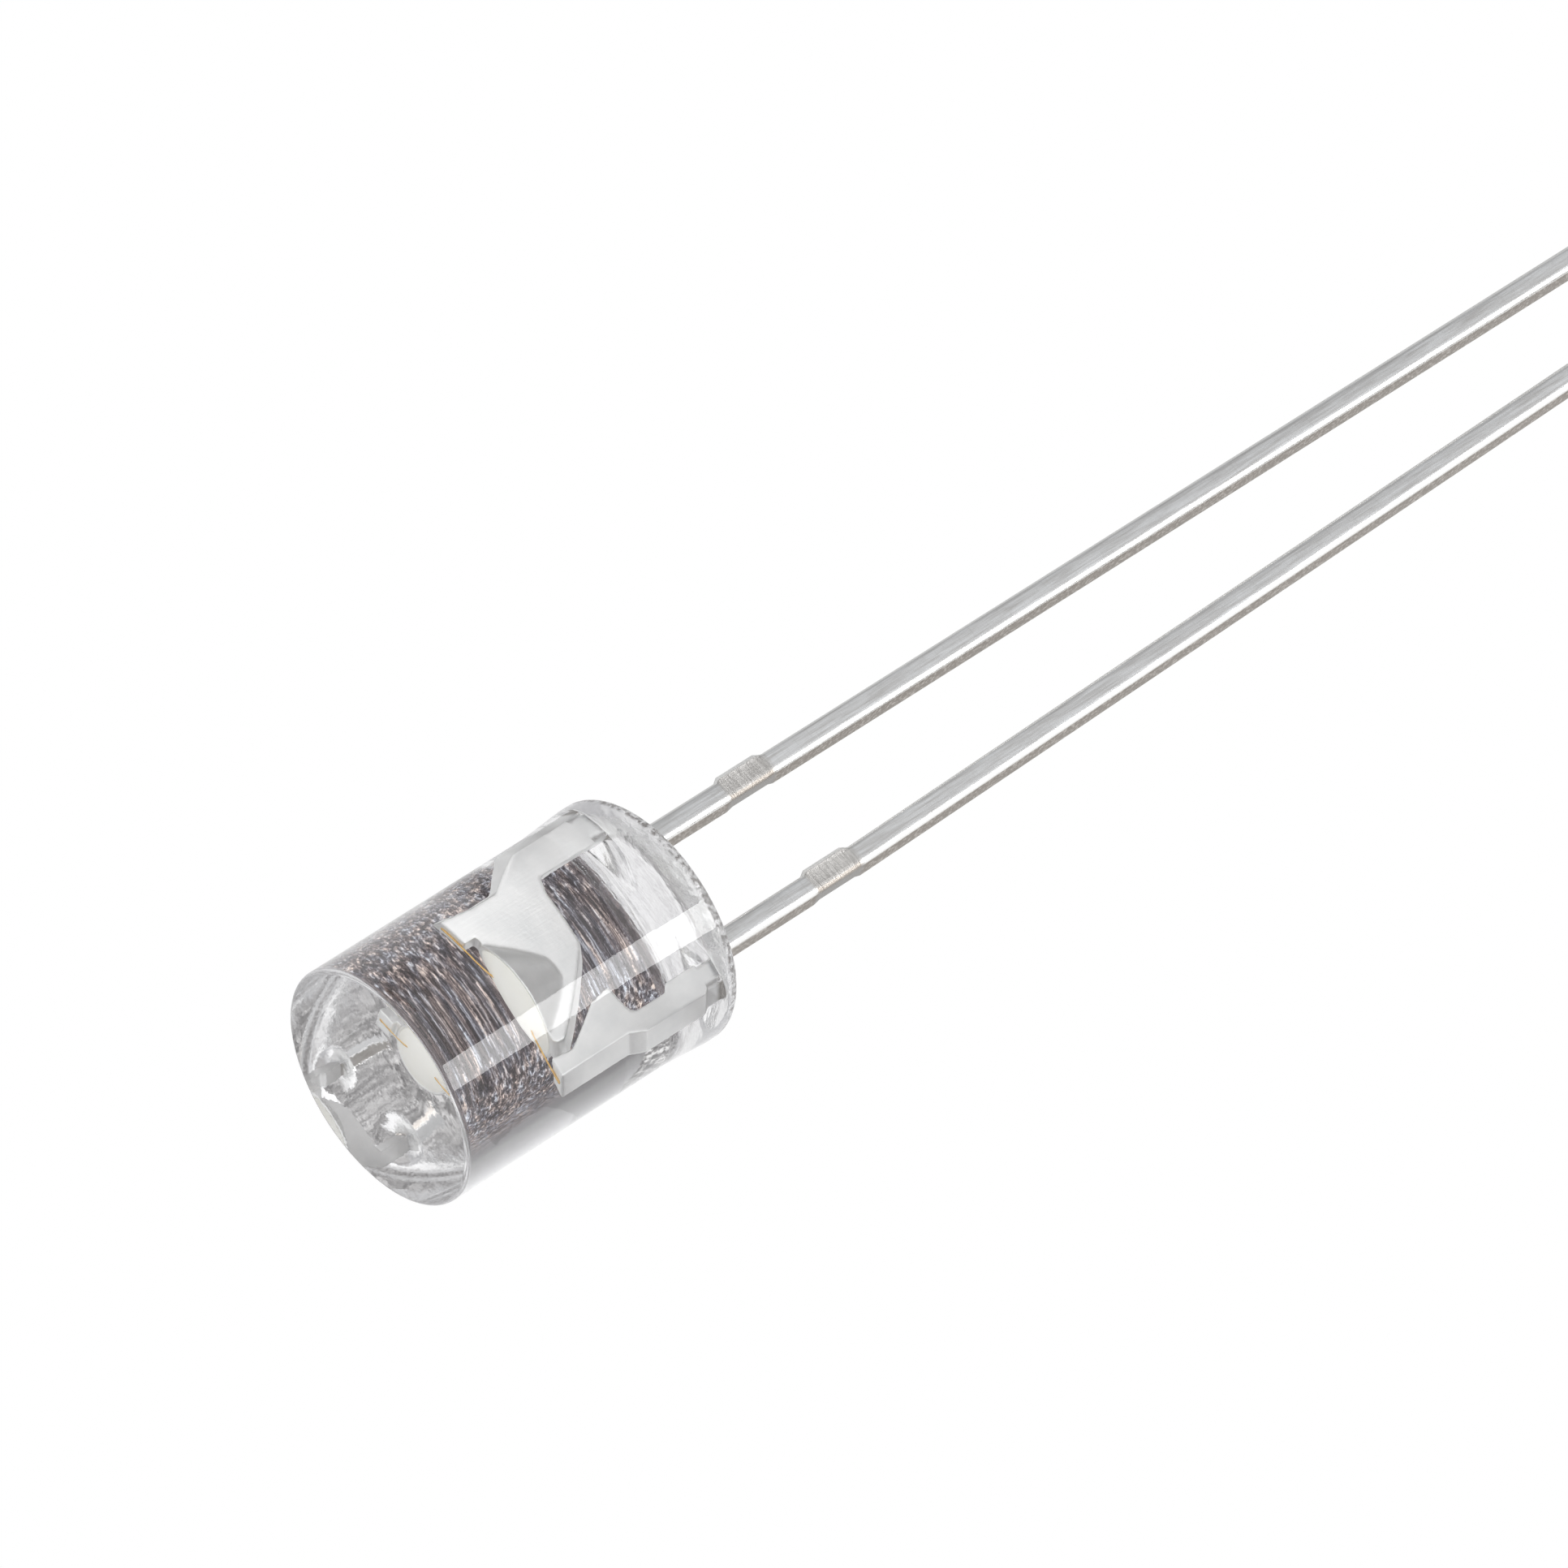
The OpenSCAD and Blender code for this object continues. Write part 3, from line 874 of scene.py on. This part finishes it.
def makeFill(spec):
    dome = addRound(spec["name"], spec["floor"], spec["floorRadius"],
                    spec["mouth"], spec["mouthRadius"])
    useOnly(dome)
    bpy.ops.object.mode_set(mode="EDIT")
    editPick("FACE", lambda f: f.normal.z > facing)
    ball = (spec["mouthRadius"] ** 2 + spec["rise"] ** 2) / (2 * spec["rise"])
    low = ball - spec["rise"]
    step = spec["mouthRadius"] / (spec["rings"] + 1)
    here = 0.0
    for k in range(1, spec["rings"] + 1):
        out = spec["mouthRadius"] - k * step
        there = math.sqrt(ball ** 2 - out ** 2) - low
        bpy.ops.mesh.inset(thickness=step)
        push(spec["lean"] / spec["rings"], 0, there - here)
        here = there
    bpy.ops.mesh.poke()
    bpy.ops.object.mode_set(mode="OBJECT")
    faceOutwards(dome)
    bpy.ops.object.shade_smooth_by_angle(angle=math.radians(spec["smoothAngle"]))
    return dome


phosphorDome = makeFill(fill)
finishPiece(phosphorDome, phosphor, "phosphor", "phosphor_fill")


# Bond wires. Each runs level off its land, dives into the fill and ends in a ball on the chip.

wires = {
    "thickness": 0.036,
    "top": 4.05,         # mm above the base
    "ballAt": 0.08,
    "ballDiameter": 0.07,
    "chipTop": 3.5,
    "ballFlat": 0.55,    # height of the pressed ball, as a share of its diameter
    "ballLift": 0.02,    # of its centre above the chip
    "stitch": (0.11, 0.07, 0.035),
    "stitchDrop": 0.022,   # of its centre below the wire's top
    "ear": 1.10,         # where the cathode's wire is stitched
    "post": -1.31,
    "riseReach": 0.16,   # the wire climbs steeply from the ball
    "kneeAt": 0.45,      # turns over here
    "kneeDrop": 0.07,
    "kneeReach": (0.14, 0.05),
    "landDrop": 0.02,    # and comes level onto the land
    "landReach": (0.18, -0.01),
    "ballSegments": (24, 12),
    "roundSteps": 4,
    "runSteps": 20,
}


def makeWire(spec, name, landX):
    side = math.copysign(1, landX)
    at = spec["ballAt"] * side
    foot = spec["chipTop"] + spec["ballLift"]
    clearSelection()
    bpy.ops.curve.primitive_bezier_curve_add(radius=1, location=(0, 0, 0))
    wire = justAdded(name)
    bend = wire.data.splines[0].bezier_points
    bend.add(1)
    kneeOut, kneeUp = spec["kneeReach"]
    landOut, landUp = spec["landReach"]
    stops = (
        (Vector((at, 0, foot)), Vector((0, 0, spec["riseReach"]))),
        (Vector((side * spec["kneeAt"], 0, spec["top"] - spec["kneeDrop"])),
         Vector((side * kneeOut, 0, kneeUp))),
        (Vector((landX, 0, spec["top"] - spec["landDrop"])), Vector((side * landOut, 0, landUp))),
    )
    for point, (where, reach) in zip(bend, stops):
        point.handle_left_type = "FREE"
        point.handle_right_type = "FREE"
        point.co = where
        point.handle_left = where - reach
        point.handle_right = where + reach
    wire.data.dimensions = "3D"
    wire.data.bevel_depth = spec["thickness"] / 2
    wire.data.bevel_resolution = spec["roundSteps"]
    wire.data.resolution_u = spec["runSteps"]
    wire.data.use_fill_caps = True
    bpy.ops.object.convert(target="MESH")
    wire = bpy.context.object
    segments, rings = spec["ballSegments"]
    bpy.ops.mesh.primitive_uv_sphere_add(
        segments=segments, ring_count=rings, radius=spec["ballDiameter"] / 2, location=(at, 0, foot))
    ball = justAdded("ball")
    ball.scale = (1, 1, spec["ballFlat"])
    applyPlace(ball)
    # the stitch is the wire's end, pressed flat on its land
    bpy.ops.object.select_all(action="DESELECT")
    bpy.ops.mesh.primitive_uv_sphere_add(
        segments=segments, ring_count=rings, radius=0.5,
        location=(landX, 0, spec["top"] - spec["stitchDrop"]))
    stitch = justAdded("stitch")
    stitch.scale = spec["stitch"]
    applyPlace(stitch)
    useOnly(wire)
    ball.select_set(True)
    stitch.select_set(True)
    bpy.ops.object.join()
    faceOutwards(wire)
    bpy.ops.object.shade_smooth()
    return wire


cathodeWire = makeWire(wires, "cathodeWire", wires["ear"])
finishPiece(cathodeWire, gold, "gold_wire", "cathode_bond_wire")
anodeWire = makeWire(wires, "anodeWire", wires["post"])
finishPiece(anodeWire, gold, "gold_wire", "anode_bond_wire")


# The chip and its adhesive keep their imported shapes.

for nodeName, mat in (("die_attach", glue), ("led_chip", crystal)):
    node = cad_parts[nodeName]
    node.data.materials.clear()
    node.data.materials.append(mat)
print("chip and adhesive dressed")


# Stage and light

stage = {
    "floorDrop": 0.25,      # m below the lead tips
    "floorSize": 4,         # m
    "floorColour": (0.8, 0.8, 0.8, 1),
    "floorRoughness": 0.9,
    "worldStrength": 0.88,
}


def seenOrMirrored(nodes, links):
    # 1 for what the camera sees directly, in a mirror or through glass
    path = nodes.new("ShaderNodeLightPath")
    seen = path.outputs["Is Camera Ray"]
    for kind in ("Is Glossy Ray", "Is Transmission Ray"):
        seen = mathOf(nodes, links, "MAXIMUM", seen, path.outputs[kind])
    return seen


def addFloor(spec):
    clearSelection()
    bpy.ops.mesh.primitive_plane_add(size=spec["floorSize"],
                                     location=(0, 0, cadBox[0].z - spec["floorDrop"]))
    floor = justAdded("floor")
    mat, nodes, links, shader = newMaterial("paleFloor")
    shader.inputs["Base Color"].default_value = spec["floorColour"]
    shader.inputs["Roughness"].default_value = spec["floorRoughness"]
    glow = nodes.new("ShaderNodeEmission")
    mix = nodes.new("ShaderNodeMixShader")
    links.new(seenOrMirrored(nodes, links), mix.inputs[0])
    links.new(shader.outputs[0], mix.inputs[1])
    links.new(glow.outputs[0], mix.inputs[2])
    links.new(mix.outputs[0], nodes["Material Output"].inputs["Surface"])
    floor.data.materials.append(mat)


def addWorld(spec):
    # white behind the part, and an even studio light on it
    world = bpy.data.worlds.new("studio")
    bpy.context.scene.world = world
    world.use_nodes = True
    nodes = world.node_tree.nodes
    links = world.node_tree.links
    back = nodes["Background"]
    strength = nodes.new("ShaderNodeMapRange")
    strength.inputs["To Min"].default_value = spec["worldStrength"]
    strength.inputs["To Max"].default_value = 1
    links.new(seenOrMirrored(nodes, links), strength.inputs["Value"])
    links.new(strength.outputs["Result"], back.inputs["Strength"])
    back.inputs["Color"].default_value = (1, 1, 1, 1)


def showOnlyTo(obj, ray):
    # hides a stage object from the camera and from every other kind of ray
    for kind in ("camera", "diffuse", "glossy", "transmission", "shadow", "volume_scatter"):
        setattr(obj, "visible_" + kind, kind == ray)


sweep = {
    "facing": (0.3007, -0.9537, 0.0),    # direction that the sheet faces
    "gap": 2.62,         # mm from the barrel's axis
    "far": (0.954, 0.3, 0.0),            # direction in which it runs out and curves up
    "reach": 20.0,       # mm, where the curve starts
    "rise": 26.0,        # mm, radius of the curve
    "top": 12.0,         # mm, upright part above it
    "near": 60.0,        # mm, how far it runs the other way
    "width": 120.0,      # mm along the barrel
    "speckle": ((0.42, (0.024, 0.017, 0.021, 1)), (0.50, (0.13, 0.108, 0.12, 1)),
                (0.56, (0.40, 0.375, 0.385, 1)), (0.64, (0.95, 0.93, 0.92, 1))),
    "warm": (1.0, 0.87, 0.78, 1),
    "cold": (0.84, 0.91, 1.0, 1),
    "smooth": ((0.0, (0.17, 0.165, 0.17, 1)), (0.05, (0.25, 0.245, 0.25, 1)),
               (0.45, (0.38, 0.38, 0.39, 1)), (1.0, (0.52, 0.52, 0.54, 1))),
    "smoothFrom": (3.0, 10.0),    # mm, where the speckle fades out
    "pale": ((0.38, (0.04, 0.036, 0.04, 1)), (0.44, (0.34, 0.33, 0.34, 1)),
             (0.48, (0.88, 0.88, 0.89, 1)), (0.53, (1.0, 1.0, 0.99, 1))),
    "dim": ((0.40, (0.04, 0.036, 0.04, 1)), (0.50, (0.25, 0.24, 0.245, 1)),
            (0.60, (0.85, 0.84, 0.83, 1))),
    "dimFrom": (3.0, 6.0),        # mm, heights between which it is dim again
    "turns": 2.5,          # light that has turned more often than this has been inside the body
    "fineStretch": (1.5, 1, 1.5),
    "fineNoise": (10, 6, 0.75),
    "patchStretch": (1.6, 1, 1),
    "patchNoise": (1.8, 4),
    "patchShift": (-0.05, 0.04),  # what the patches add to the speckle, darkest and palest
    "flowStretch": (0.8, 0.8, 3.4),
    "flowNoise": (2.6, 6, 0.74),
    "coarseNoise": (4, 6, 0.75),
    "tintNoise": (6, 2),
    "tintRange": (0.40, 0.60),
    "belowBlend": 0.5,     # mm below the base over which it turns dim
    "curveSteps": 16,
}


def multiply(nodes, links, first, second):
    mix = nodes.new("ShaderNodeMix")
    mix.data_type = "RGBA"
    mix.blend_type = "MULTIPLY"
    mix.inputs["Factor"].default_value = 1
    links.new(first, mix.inputs["A"])
    links.new(second, mix.inputs["B"])
    return mix.outputs["Result"]


def rampOf(nodes, links, value, stops):
    ramp = nodes.new("ShaderNodeValToRGB")
    while len(ramp.color_ramp.elements) < len(stops):
        ramp.color_ramp.elements.new(0.5)
    for element, (place, colour) in zip(ramp.color_ramp.elements, stops):
        element.position = place
        element.color = colour
    links.new(value, ramp.inputs["Fac"])
    return ramp.outputs["Color"]


def alongAxis(nodes, links, direction):
    # distance along a direction, in mm
    coords = nodes.new("ShaderNodeTexCoord")
    dot = nodes.new("ShaderNodeVectorMath")
    dot.operation = "DOT_PRODUCT"
    dot.inputs[1].default_value = [c / mm for c in direction]
    links.new(coords.outputs["Object"], dot.inputs[0])
    return dot.outputs["Value"]


def speckledSheet(spec, outwards, far):
    # dark and speckled beside the body and smoother further off,
    # but painted pale for light that has turned inside the body, a painted reflection
    mat, nodes, links, shader = newMaterial("speckledSheet")
    nodes.remove(shader)
    plain = placed(nodes, links, (1, 1, 1))
    fine = noiseOn(nodes, links, placed(nodes, links, spec["fineStretch"]), *spec["fineNoise"])
    patch = noiseOn(nodes, links, placed(nodes, links, spec["patchStretch"]), *spec["patchNoise"])
    grain = mathOf(nodes, links, "ADD", fine, spread(nodes, links, patch, *spec["patchShift"]))
    speckle = rampOf(nodes, links, grain, spec["speckle"])
    flow = noiseOn(nodes, links, placed(nodes, links, spec["flowStretch"]), *spec["flowNoise"])
    coarse = noiseOn(nodes, links, plain, *spec["coarseNoise"])
    tint = noiseOn(nodes, links, plain, *spec["tintNoise"])
    hue = blend(nodes, links, spread(nodes, links, tint, 0, 1, *spec["tintRange"]),
                spec["warm"], spec["cold"])
    speckle = multiply(nodes, links, speckle, hue)
    height = spread(nodes, links, alongAxis(nodes, links, outwards), 0, 1,
                    -spec["gap"], spec["rise"] + spec["top"] - spec["gap"])
    smooth = rampOf(nodes, links, height, spec["smooth"])
    off = spread(nodes, links, alongAxis(nodes, links, far), 0, 1, *spec["smoothFrom"])
    straight = blend(nodes, links, off, speckle, smooth)
    pale = rampOf(nodes, links, flow, spec["pale"])
    dim = rampOf(nodes, links, coarse, spec["dim"])
    upright = alongAxis(nodes, links, (0, 0, 1))
    below = spread(nodes, links, upright, 1, 0, -spec["belowBlend"], 0)
    dimmed = mathOf(nodes, links, "MAXIMUM", below,
                    stepBetween(nodes, links, upright, *spec["dimFrom"]))
    turned = blend(nodes, links, dimmed, pale, dim)
    # painted reflection: rays that have turned inside the body see the sheet pale or dim instead of dark
    path = nodes.new("ShaderNodeLightPath")
    later = nodes.new("ShaderNodeMath")
    later.operation = "GREATER_THAN"
    later.inputs[1].default_value = spec["turns"]
    links.new(path.outputs["Ray Depth"], later.inputs[0])
    glow = nodes.new("ShaderNodeEmission")
    links.new(blend(nodes, links, later.outputs[0], straight, turned), glow.inputs["Color"])
    links.new(glow.outputs[0], nodes["Material Output"].inputs["Surface"])
    return mat


def addSweep(spec):
    # a dark sheet that lies behind the barrel and curves up at its far side,
    # and shows only through the clear resin
    n = Vector(spec["facing"]).normalized()
    far = Vector(spec["far"])
    far = (far - n * far.dot(n)).normalized()
    side = n.cross(far)
    turn = Matrix((far, side, n)).transposed().to_4x4()
    clearSelection()
    bpy.ops.mesh.primitive_plane_add(size=1)
    sheet = justAdded("darkSweep")
    sheet.scale = (spec["reach"] + spec["near"], spec["width"], 1)
    sheet.location = ((spec["reach"] - spec["near"]) / 2, 0, -spec["gap"])
    applyPlace(sheet)
    bpy.ops.object.mode_set(mode="EDIT")
    editPick("EDGE", lambda e: all(v.co.x > spec["reach"] - slack for v in e.verts))
    steps = spec["curveSteps"]
    run = 2 * spec["rise"] * math.sin(math.pi / 4 / steps)
    for k in range(steps):
        a = math.pi / 2 * (k + 0.5) / steps
        bpy.ops.mesh.extrude_region_move(
            TRANSFORM_OT_translate={"value": (run * math.cos(a), 0, run * math.sin(a))})
    bpy.ops.mesh.extrude_region_move(TRANSFORM_OT_translate={"value": (0, 0, spec["top"])})
    bpy.ops.object.mode_set(mode="OBJECT")
    bpy.ops.object.shade_smooth()
    sheet.matrix_world = Matrix.Scale(mm, 4) @ turn
    applyPlace(sheet)
    sheet.data.materials.append(speckledSheet(spec, n, far))
    showOnlyTo(sheet, "transmission")


under = {
    "radius": 6.5,       # mm
    "drop": 2.0,         # mm below the base
    "sides": 64,
    "patchNoise": (3.2, 6, 0.72),
    "tones": ((0.40, (0.03, 0.027, 0.03, 1)), (0.50, (0.20, 0.19, 0.19, 1)),
              (0.60, (0.88, 0.87, 0.86, 1))),
}


def addUnderDisc(spec):
    # a mottled disc close under the base, which shows only through the clear resin
    clearSelection()
    bpy.ops.mesh.primitive_circle_add(vertices=spec["sides"], radius=spec["radius"],
                                      fill_type="NGON", location=(0, 0, -spec["drop"]))
    disc = justAdded("underDisc")
    applyPlace(disc)
    disc.scale = (mm, mm, mm)
    applyPlace(disc)
    mat, nodes, links, shader = newMaterial("underDisc")
    nodes.remove(shader)
    glow = nodes.new("ShaderNodeEmission")
    patch = noiseOn(nodes, links, placed(nodes, links, (1, 1, 1)), *spec["patchNoise"])
    links.new(rampOf(nodes, links, patch, spec["tones"]), glow.inputs["Color"])
    links.new(glow.outputs[0], nodes["Material Output"].inputs["Surface"])
    disc.data.materials.append(mat)
    showOnlyTo(disc, "transmission")


softbox = {
    "name": "softbox",
    "towards": (-0.612, -0.610, -0.504),
    "distance": 60.0,   # mm
    "size": (24.0, 70.0),   # mm, across and along the barrel
    "strength": 7.6,
    "seenBy": "glossy",
}

fillCard = {
    "name": "fillCard",
    "towards": (-0.36, -0.82, -0.45),
    "distance": 62.0,
    "size": (40.0, 80.0),
    "strength": 1.4,
    "seenBy": "transmission",
}

shadeCard = {
    "name": "shadeCard",
    "towards": (0.86, 0.0, -0.51),
    "distance": 60.0,
    "size": (240.0, 90.0),
    "strength": 0.55,
    "fade": 1.0,            # what it fades to at its ends
    "seenBy": "glossy",
}


def addCard(spec):
    # a glowing or dim sheet beside the part, seen only by mirrored or only by refracted rays
    d = Vector(spec["towards"]).normalized()
    across = Vector((0, 0, 1)).cross(d).normalized()
    along = d.cross(across)
    turn = Matrix((across, along, d)).transposed().to_4x4()
    clearSelection()
    bpy.ops.mesh.primitive_plane_add(size=1)
    card = justAdded(spec["name"])
    card.scale = (spec["size"][0], spec["size"][1], 1)
    applyPlace(card)
    card.matrix_world = Matrix.Scale(mm, 4) @ Matrix.Translation(d * spec["distance"]) @ turn
    applyPlace(card)
    mat, nodes, links, shader = newMaterial(spec["name"])
    nodes.remove(shader)
    glow = nodes.new("ShaderNodeEmission")
    glow.inputs["Strength"].default_value = spec["strength"]
    if "fade" in spec:
        off = sizeOf(nodes, links, alongAxis(nodes, links, across))
        links.new(spread(nodes, links, off, spec["strength"], spec["fade"], 0, spec["size"][0] / 2),
                  glow.inputs["Strength"])
    links.new(glow.outputs[0], nodes["Material Output"].inputs["Surface"])
    card.data.materials.append(mat)
    showOnlyTo(card, spec["seenBy"])


addFloor(stage)
addWorld(stage)
addSweep(sweep)
addUnderDisc(under)
for card in (softbox, fillCard, shadeCard):
    addCard(card)
print("stage set")

bpy.context.scene.view_settings.view_transform = "Standard"
